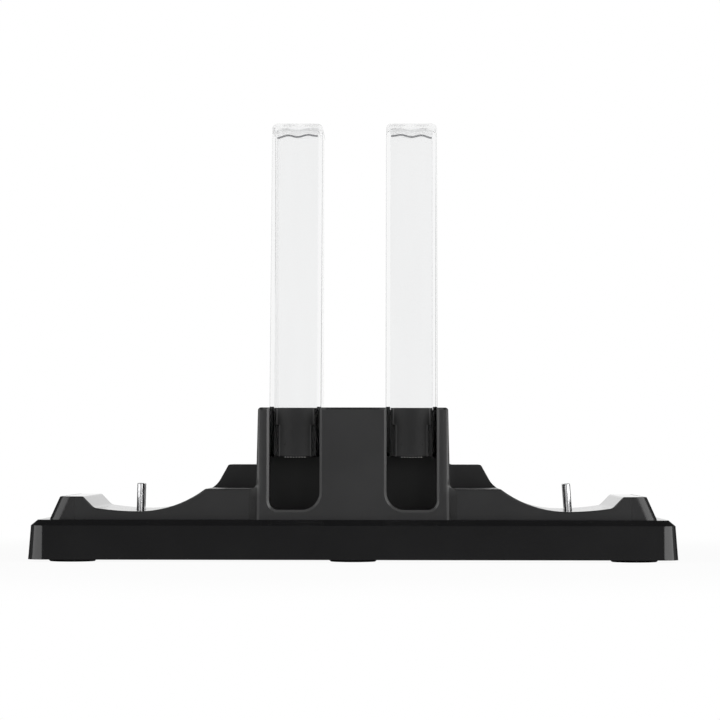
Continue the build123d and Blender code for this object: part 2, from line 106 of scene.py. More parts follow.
# %% Studio room
ROOM_LEVEL = 0.32
ROOM_LEVEL_RIGHT = 0.47
CEILING_LEVEL = 0.05
GAP_LEVEL = 0.06
THROUGH_LEVEL = 0.9
FRONT_STEP = (0.2, 0.6)
RIGHT_STEP = (0.0, 0.12)
WALL_STEP = (0.02, 0.24)
BAND_SIDE_STEP = (0.17, 0.31)
BAND_TOP_STEP = (0.15, 0.75)
THROUGH_STEP = (0.1, 0.6)


def link(tree, source, target):
    tree.links.new(source, target)


def ramp_down(tree, value, start, end):
    """One below start, none past end, with a soft step between."""
    step = tree.nodes.new("ShaderNodeMapRange")
    step.interpolation_type = "SMOOTHSTEP"
    step.inputs["From Min"].default_value = start
    step.inputs["From Max"].default_value = end
    step.inputs["To Min"].default_value = 1.0
    step.inputs["To Max"].default_value = 0.0
    link(tree, value, step.inputs["Value"])
    return step.outputs["Result"]


def calculate(tree, operation, first, second):
    made = tree.nodes.new("ShaderNodeMath")
    made.operation = operation
    for socket, value in zip(made.inputs, (first, second)):
        if isinstance(value, (int, float)):
            socket.default_value = value
        else:
            link(tree, value, socket)
    return made.outputs[0]


def between(tree, share, low, high):
    """low where the share is none, high where it is one."""
    made = tree.nodes.new("ShaderNodeMapRange")
    for name, value in (("To Min", low), ("To Max", high), ("Value", share)):
        if isinstance(value, (int, float)):
            made.inputs[name].default_value = value
        else:
            link(tree, value, made.inputs[name])
    return made.outputs["Result"]


def studio_room():
    world = bpy.data.worlds.new("studio_room")
    bpy.context.scene.world = world
    world.use_nodes = True
    tree = world.node_tree
    tree.nodes.clear()
    place = tree.nodes.new("ShaderNodeTexCoord")
    axes = tree.nodes.new("ShaderNodeSeparateXYZ")
    link(tree, place.outputs["Generated"], axes.inputs[0])
    height = calculate(tree, "ABSOLUTE", axes.outputs["Z"], 0.0)
    sideways = calculate(tree, "ABSOLUTE", axes.outputs["X"], 0.0)
    ahead = ramp_down(tree, axes.outputs["Y"], *FRONT_STEP)
    front = between(tree, ramp_down(tree, axes.outputs["X"], *RIGHT_STEP), ROOM_LEVEL_RIGHT, ROOM_LEVEL)
    walls = between(tree, ahead, GAP_LEVEL, front)
    room = between(tree, ramp_down(tree, height, *WALL_STEP), CEILING_LEVEL, walls)
    behind = calculate(tree, "MULTIPLY", calculate(tree, "GREATER_THAN", axes.outputs["Y"], 0.0),
                       ramp_down(tree, sideways, *BAND_SIDE_STEP))
    band = calculate(tree, "MULTIPLY", behind, ramp_down(tree, height, *BAND_TOP_STEP))
    room = calculate(tree, "MAXIMUM", room, band)
    through = between(tree, ramp_down(tree, height, *THROUGH_STEP), THROUGH_LEVEL, 1.0)
    path = tree.nodes.new("ShaderNodeLightPath")
    level = between(tree, path.outputs["Is Transmission Ray"], room, through)
    level = between(tree, path.outputs["Is Camera Ray"], level, 1.0)
    sky = tree.nodes.new("ShaderNodeBackground")
    sky.inputs["Color"].default_value = (1, 1, 1, 1)
    link(tree, level, sky.inputs["Strength"])
    out = tree.nodes.new("ShaderNodeOutputWorld")
    link(tree, sky.outputs[0], out.inputs["Surface"])
    return world


print("room:", studio_room().name, "levels", ROOM_LEVEL, ROOM_LEVEL_RIGHT, CEILING_LEVEL, GAP_LEVEL)

# %% [markdown]
# A long softbox stands on each side of the lens, turned in towards the dock. The round corners of the plinth and the
# housing, and the round edge of each plug, mirror the two as pale strips with a dark line outside them, where the
# gap behind the box shows. The right one is a little stronger, as in the photograph.

# %% Softboxes
SOFTBOX_SIZE = (1.13, 0.75)
SOFTBOX_PLACE = (0.679, -0.467)
SOFTBOX_AIM = Vector((0, 0, 0.06))
SOFTBOX_WATTS = {"left": 5.5, "right": 7.3}


def softbox(side, watts):
    sign = -1 if side == "left" else 1
    light = bpy.data.lights.new(f"softbox_{side}", "AREA")
    light.shape = "RECTANGLE"
    light.size, light.size_y = SOFTBOX_SIZE
    light.energy = watts
    box = bpy.data.objects.new(light.name, light)
    box.location = (sign * SOFTBOX_PLACE[0], SOFTBOX_PLACE[1], SOFTBOX_SIZE[1] / 2)
    box.rotation_euler = (SOFTBOX_AIM - box.location).to_track_quat("-Z", "Y").to_euler()
    box.visible_camera = False
    box.visible_transmission = False
    bpy.context.scene.collection.objects.link(box)
    return box


for side, watts in SOFTBOX_WATTS.items():
    print(softbox(side, watts).name, watts, "W")

# %% [markdown]
# The floor is a white sheet. Most of what the lens sees of it is its own white, and all of it farther off, so that it
# runs into the white behind. The rest is lit by the softboxes, which leaves a faint contact shadow round the feet.

# %% Floor
FLOOR_HALF = 3.0
FLOOR_COLOUR = (0.9, 0.9, 0.9, 1)
FLOOR_OWN_WHITE = 0.94
FLOOR_SHADOW_REACH = (0.12, 0.3)


def white_sheet():
    sheet = bpy.data.meshes.new("white_sheet")
    corners = [(x * FLOOR_HALF, y * FLOOR_HALF, 0.0) for x, y in ((-1, -1), (1, -1), (1, 1), (-1, 1))]
    sheet.from_pydata(corners, [], [(0, 1, 2, 3)])
    paint = bpy.data.materials.new("white_sheet")
    paint.use_nodes = True
    tree = paint.node_tree
    tree.nodes.clear()
    matte = tree.nodes.new("ShaderNodeBsdfDiffuse")
    matte.inputs["Color"].default_value = FLOOR_COLOUR
    glow = tree.nodes.new("ShaderNodeEmission")
    path = tree.nodes.new("ShaderNodeLightPath")
    seen = calculate(tree, "MAXIMUM", path.outputs["Is Camera Ray"], path.outputs["Is Transmission Ray"])
    place = tree.nodes.new("ShaderNodeTexCoord")
    distance = tree.nodes.new("ShaderNodeVectorMath")
    distance.operation = "LENGTH"
    link(tree, place.outputs["Object"], distance.inputs[0])
    near = ramp_down(tree, distance.outputs["Value"], *FLOOR_SHADOW_REACH)
    mix = tree.nodes.new("ShaderNodeMixShader")
    link(tree, calculate(tree, "MULTIPLY", seen, between(tree, near, 1.0, FLOOR_OWN_WHITE)), mix.inputs["Fac"])
    link(tree, matte.outputs[0], mix.inputs[1])
    link(tree, glow.outputs[0], mix.inputs[2])
    out = tree.nodes.new("ShaderNodeOutputMaterial")
    link(tree, mix.outputs[0], out.inputs["Surface"])
    sheet.materials.append(paint)
    floor = bpy.data.objects.new("white_sheet", sheet)
    bpy.context.scene.collection.objects.link(floor)
    floor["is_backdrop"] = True
    return floor


print("floor:", white_sheet().name)

# %% [markdown]
# Every finish starts from the same few moves: a lump pattern in the piece's own space, a spread of roughness or
# colour taken from it, and a shallow relief. Real sizes go straight in, because the pattern is measured in metres.

# %% Helpers for the finishes
PATTERN_MIDDLE = (0.3, 0.7)
DRIFT_SIZE = 14.0


def finish(name, **sockets):
    """A new material and its tree; values that hold all over go straight on the shader's sockets."""
    made = bpy.data.materials.new(name)
    made.use_nodes = True
    shader = made.node_tree.nodes["Principled BSDF"]
    for socket, value in sockets.items():
        shader.inputs[socket.replace("_", " ")].default_value = value
    return made, made.node_tree, shader


def lumps(tree, size, detail=2.0, stretch=(1, 1, 1)):
    """A noise pattern whose lumps are about so many millimetres across."""
    place = tree.nodes.new("ShaderNodeTexCoord")
    turn = tree.nodes.new("ShaderNodeMapping")
    turn.inputs["Scale"].default_value = [1 / s for s in stretch]
    noise = tree.nodes.new("ShaderNodeTexNoise")
    noise.inputs["Scale"].default_value = 1 / (size * MM)
    noise.inputs["Detail"].default_value = detail
    link(tree, place.outputs["Object"], turn.inputs["Vector"])
    link(tree, turn.outputs["Vector"], noise.inputs["Vector"])
    return noise.outputs["Fac"]


def spread(tree, value, low, high):
    """The middle of a pattern's values, spread between two limits."""
    made = tree.nodes.new("ShaderNodeMapRange")
    limits = zip(("From Min", "From Max", "To Min", "To Max"), (*PATTERN_MIDDLE, low, high))
    for name, number in limits:
        made.inputs[name].default_value = number
    link(tree, value, made.inputs["Value"])
    return made.outputs["Result"]


def shades(tree, value, dark, light):
    made = tree.nodes.new("ShaderNodeValToRGB")
    for element, spot, colour in zip(made.color_ramp.elements, PATTERN_MIDDLE, (dark, light)):
        element.position = spot
        element.color = (*colour, 1)
    link(tree, value, made.inputs["Fac"])
    return made.outputs["Color"]


def relief(tree, shader, value, depth):
    made = tree.nodes.new("ShaderNodeBump")
    made.inputs["Strength"].default_value = 1.0
    made.inputs["Distance"].default_value = depth * MM
    link(tree, value, made.inputs["Height"])
    link(tree, made.outputs["Normal"], shader.inputs["Normal"])


def towards(tree, colour, share, other):
    """A colour that turns into another by a share."""
    made = tree.nodes.new("ShaderNodeMix")
    made.data_type = "RGBA"
    link(tree, share, made.inputs["Factor"])
    link(tree, colour, made.inputs[6])
    made.inputs[7].default_value = (*other, 1)
    return made.outputs[2]


def moulded(name, dark, light, rough, grain, depth, polished=None, shaded=None, wear_and_painted_highlight=None, **sockets):
    """Moulded plastic: fine grain, a slow drift of colour and gloss, places left coarse with painted shade, places
    smoothed, and places with a painted highlight.
    """
    made, tree, shader = finish(name, **sockets)
    drift = lumps(tree, DRIFT_SIZE, 3.0)
    fine = lumps(tree, grain)
    colour = shades(tree, drift, dark, light)
    both = calculate(tree, "MULTIPLY", calculate(tree, "ADD", drift, fine), 0.5)
    gloss = spread(tree, both, *rough)
    if shaded:
        share = shaded(tree)
        # Painted shade: where the share is, the colour is darkened; below, the grain is also made coarser.
        colour = towards(tree, colour, share, PAINTED_SHADE_COLOUR)
        gloss = between(tree, share, gloss, COARSE_ROUGHNESS)
    if wear_and_painted_highlight:
        # Painted highlight: where the share is, the colour is lightened.
        colour = towards(tree, colour, wear_and_painted_highlight(tree), PAINTED_HIGHLIGHT_COLOUR)
    link(tree, colour, shader.inputs["Base Color"])
    if polished:
        share = polished(tree)
        gloss = between(tree, share, gloss, POLISHED_ROUGHNESS)
        fine = calculate(tree, "MULTIPLY", fine, calculate(tree, "SUBTRACT", 1.0, share))
    link(tree, gloss, shader.inputs["Roughness"])
    relief(tree, shader, fine, depth)
    return made


# %% [markdown]
# The upper housing is matt black with the fine grain of a spark-eroded mould, but the mould is polished where the
# controllers slide into the cradles: those surfaces mirror the white behind the dock and look nearly white along the
# lens. The wings are a little smoother than the block. The slots keep a coarse grain and are painted darker as shade,
# as is the foot of the block's edges, and their rims, with strips along the block's upright edges, are painted paler as
# a highlight. The plinth comes from a smoother mould, so it is a shade darker and glossier all over.

# %% Black plastics
POLISHED_ROUGHNESS = 0.04
CRADLE_POLISH = 0.83
HORN_HEIGHT = (20.2, 30.0)
COARSE_ROUGHNESS = 0.64
# Painted shade: the darker colour for the slots' insides, the foot of the block's edges and the tongues' flanks.
PAINTED_SHADE_COLOUR = (0.003, 0.003, 0.003)
# Painted highlight: the paler colour for the slots' rims, strips along the block's edges and the tongues' edges.
PAINTED_HIGHLIGHT_COLOUR = (0.06, 0.06, 0.06)
CRADLE_REACH = (47.0, 92.0)
HORN_REACH = (80.0, 92.0)
CRADLE_HALF_DEPTH = 29.5
BLOCK_FRONT = {"y": -31.21, "lean": 1.33, "half": 31.5}
RIM_DEPTH = (0.06, 1.1)
RIM_POLISH = 0.63
SHELF = 24.0
BLOCK_HEIGHT = (SHELF, 60.0)
BLOCK_FOOT = (30.4, 33.0)
# Strips along the block's upright edges that get a painted highlight, at STRIP_SHARE.
BLOCK_STRIP = (30.0, 31.5)
STRIP_DEPTH = (-1.0, RIM_DEPTH[1])
STRIP_SHARE = 0.4
WINGS = (33.0, 100.0)
WING_POLISH = 0.27
ENDS = (88.5, 100.0)
END_POLISH = 0.5
SLOT_X = 18.6
SLOT_HALF = 8.6
SLOT_DEPTH = (1.5, 40.0)
RIM_HALF = 10.0
TONGUE = {"shoulder": 43.5, "half": 6.03, "half_neck": 5.13}
# TONGUE_EDGE: how much painted shade reaches a tongue's edges.
TONGUE_EDGE = 0.9
TONGUE_LINE = (0.93, 1.04)


def position(tree):
    """Where a point lies in the dock: how far out from the middle, from front to back, and how high."""
    place = tree.nodes.new("ShaderNodeTexCoord")
    axes = tree.nodes.new("ShaderNodeSeparateXYZ")
    link(tree, place.outputs["Object"], axes.inputs[0])
    return calculate(tree, "ABSOLUTE", axes.outputs["X"], 0.0), axes.outputs["Y"], axes.outputs["Z"]


def from_to(tree, value, low, high, soft):
    """One between two limits in millimetres, with soft ends."""
    over = calculate(tree, "SUBTRACT", 1.0, ramp_down(tree, value, (low - soft) * MM, low * MM))
    return calculate(tree, "MULTIPLY", over, ramp_down(tree, value, high * MM, (high + soft) * MM))


def behind_block_front(tree, deep, high):
    """How far a point lies behind the block's leaning front."""
    lean = calculate(tree, "MULTIPLY", high, math.tan(math.radians(BLOCK_FRONT["lean"])))
    return calculate(tree, "SUBTRACT", calculate(tree, "SUBTRACT", deep, lean), BLOCK_FRONT["y"] * MM)


def slot_rims(tree):
    """One on the flared rims of the slots."""
    out, deep, high = position(tree)
    return calculate(tree, "MULTIPLY", from_to(tree, out, SLOT_X - RIM_HALF, SLOT_X + RIM_HALF, soft=0.1),
                     from_to(tree, behind_block_front(tree, deep, high), *RIM_DEPTH, soft=0.05))


def block_edges(tree):
    """One on the block's upright edges, above the shelves."""
    out, deep, high = position(tree)
    edge = calculate(tree, "MULTIPLY", from_to(tree, out, SLOT_X + RIM_HALF, BLOCK_FRONT["half"], soft=0.1),
                     from_to(tree, behind_block_front(tree, deep, high), *RIM_DEPTH, soft=0.05))
    return calculate(tree, "MULTIPLY", edge, from_to(tree, high, *BLOCK_HEIGHT, soft=1.0))


def painted_rim_highlight(tree):
    """One on the slots' rims, and partly on the block's front towards its upright edges: where a highlight is painted.
    """
    out, deep, high = position(tree)
    strip = calculate(tree, "MULTIPLY", from_to(tree, out, *BLOCK_STRIP, soft=2.0),
                      from_to(tree, behind_block_front(tree, deep, high), *STRIP_DEPTH, soft=0.05))
    strip = calculate(tree, "MULTIPLY", strip, from_to(tree, high, *BLOCK_HEIGHT, soft=4.0))
    return calculate(tree, "MAXIMUM", slot_rims(tree), calculate(tree, "MULTIPLY", strip, STRIP_SHARE))


def worn_smooth(tree):
    """One on the cradles and the horns' tops, and partly on the rims, the block's edges, the wings and their ends."""
    out, deep, high = position(tree)
    cradle = calculate(tree, "MULTIPLY", from_to(tree, out, *CRADLE_REACH, soft=0.4),
                       from_to(tree, deep, -CRADLE_HALF_DEPTH, CRADLE_HALF_DEPTH, soft=0.3))
    horn = calculate(tree, "MULTIPLY", from_to(tree, out, *HORN_REACH, soft=0.4),
                     from_to(tree, high, *HORN_HEIGHT, soft=0.1))
    smooth = calculate(tree, "MULTIPLY", cradle, between(tree, horn, CRADLE_POLISH, 1.0))
    places = ((slot_rims(tree), RIM_POLISH), (block_edges(tree), RIM_POLISH),
              (from_to(tree, out, *WINGS, soft=1.0), WING_POLISH), (from_to(tree, out, *ENDS, soft=2.0), END_POLISH))
    for place, share in places:
        smooth = calculate(tree, "MAXIMUM", smooth, calculate(tree, "MULTIPLY", place, share))
    return smooth


def in_slots(tree):
    """One on the inner faces of the slots and at the foot of the block's edges, which keep a coarse grain and get
    painted shade.
    """
    out, deep, high = position(tree)
    behind = behind_block_front(tree, deep, high)
    slot = calculate(tree, "MULTIPLY", from_to(tree, out, SLOT_X - SLOT_HALF, SLOT_X + SLOT_HALF, soft=0.1),
                     from_to(tree, behind, *SLOT_DEPTH, soft=1.0))
    foot = calculate(tree, "MULTIPLY", from_to(tree, out, *BLOCK_FOOT, soft=0.1),
                     from_to(tree, behind, *RIM_DEPTH, soft=0.05))
    foot = calculate(tree, "MULTIPLY", foot, ramp_down(tree, high, (SHELF - 1.0) * MM, SHELF * MM))
    return calculate(tree, "MAXIMUM", slot, foot)


def across_tongue(tree):
    """How far a point lies from a tongue's middle, as a share of its half width, which grows above the shoulder."""
    out, _, high = position(tree)
    off = calculate(tree, "ABSOLUTE", calculate(tree, "SUBTRACT", out, SLOT_X * MM), 0.0)
    level = TONGUE["shoulder"] * MM
    half = between(tree, ramp_down(tree, high, level - 0.1 * MM, level + 0.1 * MM),
                   TONGUE["half"] * MM, TONGUE["half_neck"] * MM)
    return calculate(tree, "DIVIDE", off, half)


def beside_tongues(tree):
    """One on the carriers' flanks, and growing from none in the middle of a tongue towards its edges: where shade is
    painted and the grain made coarser.
    """
    share = across_tongue(tree)
    towards_edge = calculate(tree, "MULTIPLY", calculate(tree, "POWER", share, 2.0), TONGUE_EDGE)
    return calculate(tree, "MAXIMUM", calculate(tree, "GREATER_THAN", share, 1.0), towards_edge)


def painted_tongue_edge_highlight(tree):
    """One along both edges of a tongue, where a highlight is painted."""
    share = across_tongue(tree)
    return calculate(tree, "MULTIPLY", calculate(tree, "GREATER_THAN", share, TONGUE_LINE[0]),
                     calculate(tree, "LESS_THAN", share, TONGUE_LINE[1]))


FINISHES = {
    "housing_plastic": moulded("housing_plastic", (0.0125, 0.0125, 0.013), (0.0155, 0.0155, 0.016), (0.39, 0.51),
                               0.3, 0.006, polished=worn_smooth, shaded=in_slots, wear_and_painted_highlight=painted_rim_highlight),
    "base_plastic": moulded("base_plastic", (0.0062, 0.0062, 0.0066), (0.0078, 0.0078, 0.0082), (0.1, 0.14),
                            0.7, 0.0004),
    # The carriers get painted shade on their flanks and towards the tongues' edges, and a painted highlight along those
    # edges.
    "carrier_plastic": moulded("carrier_plastic", (0.0125, 0.0125, 0.013), (0.0155, 0.0155, 0.016), (0.32, 0.4),
                               0.35, 0.005, shaded=beside_tongues, wear_and_painted_highlight=painted_tongue_edge_highlight),
    "liner_plastic": moulded("liner_plastic", (0.012, 0.012, 0.012), (0.018, 0.018, 0.018), (0.4, 0.5), 0.2, 0.004),
    "chip_plastic": moulded("chip_plastic", (0.018, 0.018, 0.02), (0.03, 0.03, 0.032), (0.5, 0.62), 0.12, 0.004),
    "choke_ferrite": moulded("choke_ferrite", (0.05, 0.05, 0.055), (0.1, 0.1, 0.105), (0.45, 0.6), 0.25, 0.012),
    "socket_plastic": moulded("socket_plastic", (0.74, 0.72, 0.65), (0.82, 0.8, 0.73), (0.35, 0.45), 0.4, 0.004),
    "foot_rubber": moulded("foot_rubber", (0.011, 0.011, 0.011), (0.02, 0.02, 0.02), (0.62, 0.8), 0.16, 0.012),
    "lead_sleeve": moulded("lead_sleeve", (0.1, 0.012, 0.012), (0.15, 0.02, 0.02), (0.4, 0.5), 0.6, 0.006),
}
print("plastics:", ", ".join(FINISHES))

# %% [markdown]
# The posts are clear and polished, with faint flow marks that run up them as the plastic ran in the mould. Their
# index is set below that of solid acrylic, because their edges stay as faint in the photograph as those of a thin
# film. The roof of each post is left dull, because the core that forms its wavy underside is not polished. The
# light's lens is the same material over a pale dye.

# %% Clear plastics
FLOW_MARKS = 0.012
FLOW_MARK_SIZE = 5.0
FLOW_MARK_STRETCH = (1, 1, 12)
POST_ROOF = (139.4, 141.2)
FROSTED_ROUGHNESS = 0.4
CLEAR_INDEX = 1.13


def clear(name, tint, rough, frosted=None, **sockets):
    """Clear plastic with flow marks, and dull between two heights if they are given."""
    made, tree, shader = finish(name, IOR=CLEAR_INDEX, Transmission_Weight=1.0, **sockets)
    flow = lumps(tree, FLOW_MARK_SIZE, stretch=FLOW_MARK_STRETCH)
    link(tree, shades(tree, flow, [v - FLOW_MARKS for v in tint], tint), shader.inputs["Base Color"])
    gloss = spread(tree, flow, *rough)
    if frosted:
        gloss = between(tree, from_to(tree, position(tree)[2], *frosted, soft=0.1), gloss, FROSTED_ROUGHNESS)
    link(tree, gloss, shader.inputs["Roughness"])
    return made


FINISHES["clear_plastic"] = clear("clear_plastic", (0.94, 0.942, 0.943), (0.0, 0.0), frosted=POST_ROOF)
# Painted shade: the dark tint of this bead stands in for the dark that the wavy top of the hollow refracts.
FINISHES["painted_dark_line"] = clear("painted_dark_line", (0.3, 0.3, 0.31), (0.1, 0.2))
FINISHES["light_lens"] = clear("light_lens", (0.95, 0.9, 0.62), (0.12, 0.25))
print("clear:", CLEAR_INDEX)

# %% [markdown]
# The plug's shell is drawn from bright plated sheet, with hair-fine drawing lines along its length. Contacts are gold
# plated, but the tips in the tongues, where the other half slides on, are rubbed through to the pale nickel below.
# Cans are drawn aluminium and screws have a dull zinc coat.

# %% Metals
NICKEL = (0.86, 0.85, 0.83)
RUBBED_TIPS = (32.0, 33.7)
TARNISH_SIZE = 2.5
DRAWING_STRETCH = (1, 1, 40)


def drawn(name, dark, light, rough, line, depth, wear_and_painted_highlight=None):
    """Drawn metal with fine lines along Z."""
    made, tree, shader = finish(name, Metallic=1.0)
    lines = lumps(tree, line, 3.0, stretch=DRAWING_STRETCH)
    colour = shades(tree, lumps(tree, TARNISH_SIZE), dark, light)
    if wear_and_painted_highlight:
        colour = towards(tree, colour, from_to(tree, position(tree)[2], *wear_and_painted_highlight, soft=0.4), NICKEL)
    link(tree, colour, shader.inputs["Base Color"])
    link(tree, spread(tree, lines, *rough), shader.inputs["Roughness"])
    relief(tree, shader, lines, depth)
    return made


FINISHES["plug_metal"] = drawn("plug_metal", (0.76, 0.76, 0.77), (0.84, 0.84, 0.85), (0.2, 0.3), 0.08, 0.0004)
FINISHES["contact_metal"] = drawn("contact_metal", (0.8, 0.58, 0.25), (0.9, 0.68, 0.33), (0.15, 0.28), 0.05, 0.0006,
                                  wear_and_painted_highlight=RUBBED_TIPS)
FINISHES["capacitor_metal"] = drawn("capacitor_metal", (0.72, 0.72, 0.74), (0.8, 0.8, 0.81), (0.25, 0.4), 0.1, 0.001)
FINISHES["screw_steel"] = drawn("screw_steel", (0.38, 0.38, 0.4), (0.5, 0.5, 0.52), (0.3, 0.45), 0.1, 0.001)
print("metals:", ", ".join(name for name in FINISHES if name.endswith(("metal", "steel"))))

# %% [markdown]
# Circuit boards are glass cloth under a green mask. The copper below raises the mask in straight runs, so a brick
# pattern with thin joints stands in for the tracks: lighter green along the runs, darker between.

# %% Circuit board
TRACK_PITCH = 6.0


def masked_board():
    made, tree, shader = finish("circuit_board", IOR=1.5, Coat_Weight=0.4, Coat_Roughness=0.15)
    place = tree.nodes.new("ShaderNodeTexCoord")
    tracks = tree.nodes.new("ShaderNodeTexBrick")
    tracks.inputs["Scale"].default_value = 1 / (TRACK_PITCH * MM)
    tracks.inputs["Mortar Size"].default_value = 0.05
    tracks.inputs["Mortar Smooth"].default_value = 0.3
    link(tree, place.outputs["Object"], tracks.inputs["Vector"])
    runs = shades(tree, tracks.outputs["Fac"], (0.008, 0.05, 0.022), (0.03, 0.13, 0.055))
    link(tree, runs, shader.inputs["Base Color"])
    link(tree, spread(tree, lumps(tree, 0.4), 0.3, 0.42), shader.inputs["Roughness"])
    relief(tree, shader, tracks.outputs["Fac"], 0.03)
    return made


FINISHES["circuit_board"] = masked_board()
print("board tracks every", TRACK_PITCH, "mm")

# %% [markdown]
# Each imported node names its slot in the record, so one loop dresses them all. Only the material changes.

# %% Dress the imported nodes
for part in frame["record"]["subparts"]:
    mesh = frame["nodes"][part["node"]].data
    mesh.materials.clear()
    mesh.materials.append(FINISHES[part["material_slot"]])

# %% [markdown]
# Small things that come in rows are grown by geometry nodes. Each recipe is a node tree with named sizes. It is grown
# once, kept as a plain mesh, and the piece takes the place of the plain solid that held its room.

# %% Helpers for the recipes
def recipe(name, **sizes):
    """A tree with named inputs and a finish; returns the tree and its inputs."""
    tree = bpy.data.node_groups.new(name, "GeometryNodeTree")
    kinds = {int: "NodeSocketInt", float: "NodeSocketFloat", tuple: "NodeSocketVector"}
    for label, value in sizes.items():
        socket = tree.interface.new_socket(label.replace("_", " "), in_out="INPUT", socket_type=kinds[type(value)])
        socket.default_value = value
    tree.interface.new_socket("Finish", in_out="INPUT", socket_type="NodeSocketMaterial")
    tree.interface.new_socket("Geometry", in_out="OUTPUT", socket_type="NodeSocketGeometry")
    return tree, tree.nodes.new("NodeGroupInput").outputs


def add(tree, kind, settings=(), **inputs):
    """A node with its settings and inputs, each a value or another node's output."""
    made = tree.nodes.new(kind)
    for name, value in settings:
        setattr(made, name, value)
    for label, value in inputs.items():
        socket = made.inputs[label.replace("_", " ")]
        if isinstance(value, bpy.types.NodeSocket):
            link(tree, value, socket)
        else:
            socket.default_value = value
    return made.outputs


def vector(tree, x=0.0, y=0.0, z=0.0):
    return add(tree, "ShaderNodeCombineXYZ", X=x, Y=y, Z=z)[0]


def drawn_out(tree, mesh, faces, steps):
    """Draws faces out in steps: each goes so far up and then shrinks or grows to a share of its width."""
    for rise, share in steps:
        grown = add(tree, "GeometryNodeExtrudeMesh", Mesh=mesh, Selection=faces, Offset=vector(tree, z=rise))
        mesh, faces = grown["Mesh"], grown["Top"]
        mesh = add(tree, "GeometryNodeScaleElements", Geometry=mesh, Selection=faces, Scale=share)[0]
    return mesh


def upward(tree):
    """The faces that look up."""
    normal = add(tree, "GeometryNodeInputNormal")[0]
    height = add(tree, "ShaderNodeSeparateXYZ", Vector=normal)["Z"]
    return calculate(tree, "GREATER_THAN", height, 0.5)


def set_out(tree, points, piece, look, **inputs):
    """One copy of the piece at each point, as plain mesh in its finish."""
    copies = add(tree, "GeometryNodeInstanceOnPoints", Points=points, Instance=piece, **inputs)[0]
    plain = add(tree, "GeometryNodeRealizeInstances", Geometry=copies)[0]
    return add(tree, "GeometryNodeSetMaterial", Geometry=plain, Material=look)[0]


def close(tree, geometry):
    link(tree, geometry, tree.nodes.new("NodeGroupOutput").inputs["Geometry"])
    return tree


def grow(tree, name, slot, stands_for=(), look=None, **sizes):
    """Grows a tree once with its sizes and lets the mesh ride on the dock."""
    host = bpy.data.objects.new(f"{name}_host", bpy.data.meshes.new(f"{name}_host"))
    bpy.context.scene.collection.objects.link(host)
    modifier = host.modifiers.new("recipe", "NODES")
    modifier.node_group = tree
    inputs = {item.name: item.identifier for item in tree.interface.items_tree if item.in_out == "INPUT"}
    for label, value in sizes.items():
        modifier[inputs[label.replace("_", " ")]] = value
    modifier[inputs["Finish"]] = FINISHES[look or slot]
    grown = host.evaluated_get(bpy.context.evaluated_depsgraph_get())
    piece = bpy.data.objects.new(name, bpy.data.meshes.new_from_object(grown))
    bpy.data.objects.remove(host)
    bpy.context.scene.collection.objects.link(piece)
    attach(piece, "root")
    if stands_for:
        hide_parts(*stands_for)
    print(name, "triangles:", sum(len(p.vertices) - 2 for p in piece.data.polygons))
    return piece


# %% [markdown]
# Contacts are stamped from strip: a row of narrow blades, each with a tapered tip so that the other half slides on
# without catching. The same recipe serves the blades in the tongues, the rows inside the plugs and the power inlet.

# %% Contact rows
def contact_row():
    tree, size = recipe("contact_row", Count=8, Pitch=0.9 * MM, Width=0.5 * MM, Thickness=0.4 * MM, Length=3.6 * MM,
                        Tip=0.6 * MM, Place=(0.0, 0.0, 0.0), Turn=(0.0, 0.0, 0.0))
    straight = calculate(tree, "SUBTRACT", size["Length"], size["Tip"])
    bar = add(tree, "GeometryNodeMeshCube", Size=vector(tree, size["Width"], size["Thickness"], straight))["Mesh"]
    lifted = vector(tree, z=calculate(tree, "MULTIPLY", straight, 0.5))
    bar = add(tree, "GeometryNodeTransform", Geometry=bar, Translation=lifted)[0]
    blade = drawn_out(tree, bar, upward(tree), [(size["Tip"], 0.45)])
    gaps = calculate(tree, "SUBTRACT", size["Count"], 1.0)
    start = calculate(tree, "MULTIPLY", calculate(tree, "MULTIPLY", gaps, size["Pitch"]), -0.5)
    line = add(tree, "GeometryNodeMeshLine", Count=size["Count"], Start_Location=vector(tree, start),
               Offset=vector(tree, size["Pitch"]))[0]
    turned = add(tree, "GeometryNodeTransform", Geometry=line, Translation=size["Place"], Rotation=size["Turn"])[0]
    return close(tree, set_out(tree, turned, blade, size["Finish"], Rotation=size["Turn"]))


CONTACT_ROW = contact_row()
RAIL_CONTACTS = {"y": -22.5, "top": 36.4, "length": 3.4}
PLUG = {"x": 69.7, "foot": 15.9, "lean": {"left": 1.3, "right": 4.0}, "half_mouth": 0.45, "root": 3.2, "length": 4.6}
INLET = {"root": 30.9, "z": 8.63, "half_tongue": 0.35, "length": 3.6}
FINE_ROW = {"Count": 12, "Pitch": 0.5 * MM, "Width": 0.26 * MM, "Thickness": 0.12 * MM, "Tip": 0.35 * MM}
TOUCH = 0.01


def plug_turn(side):
    sign = -1 if side == "left" else 1
    lean = Matrix.Rotation(math.radians(-sign * PLUG["lean"][side]), 4, "Y")
    return Matrix.Translation(Vector((sign * PLUG["x"], 0, PLUG["foot"])) * MM) @ lean


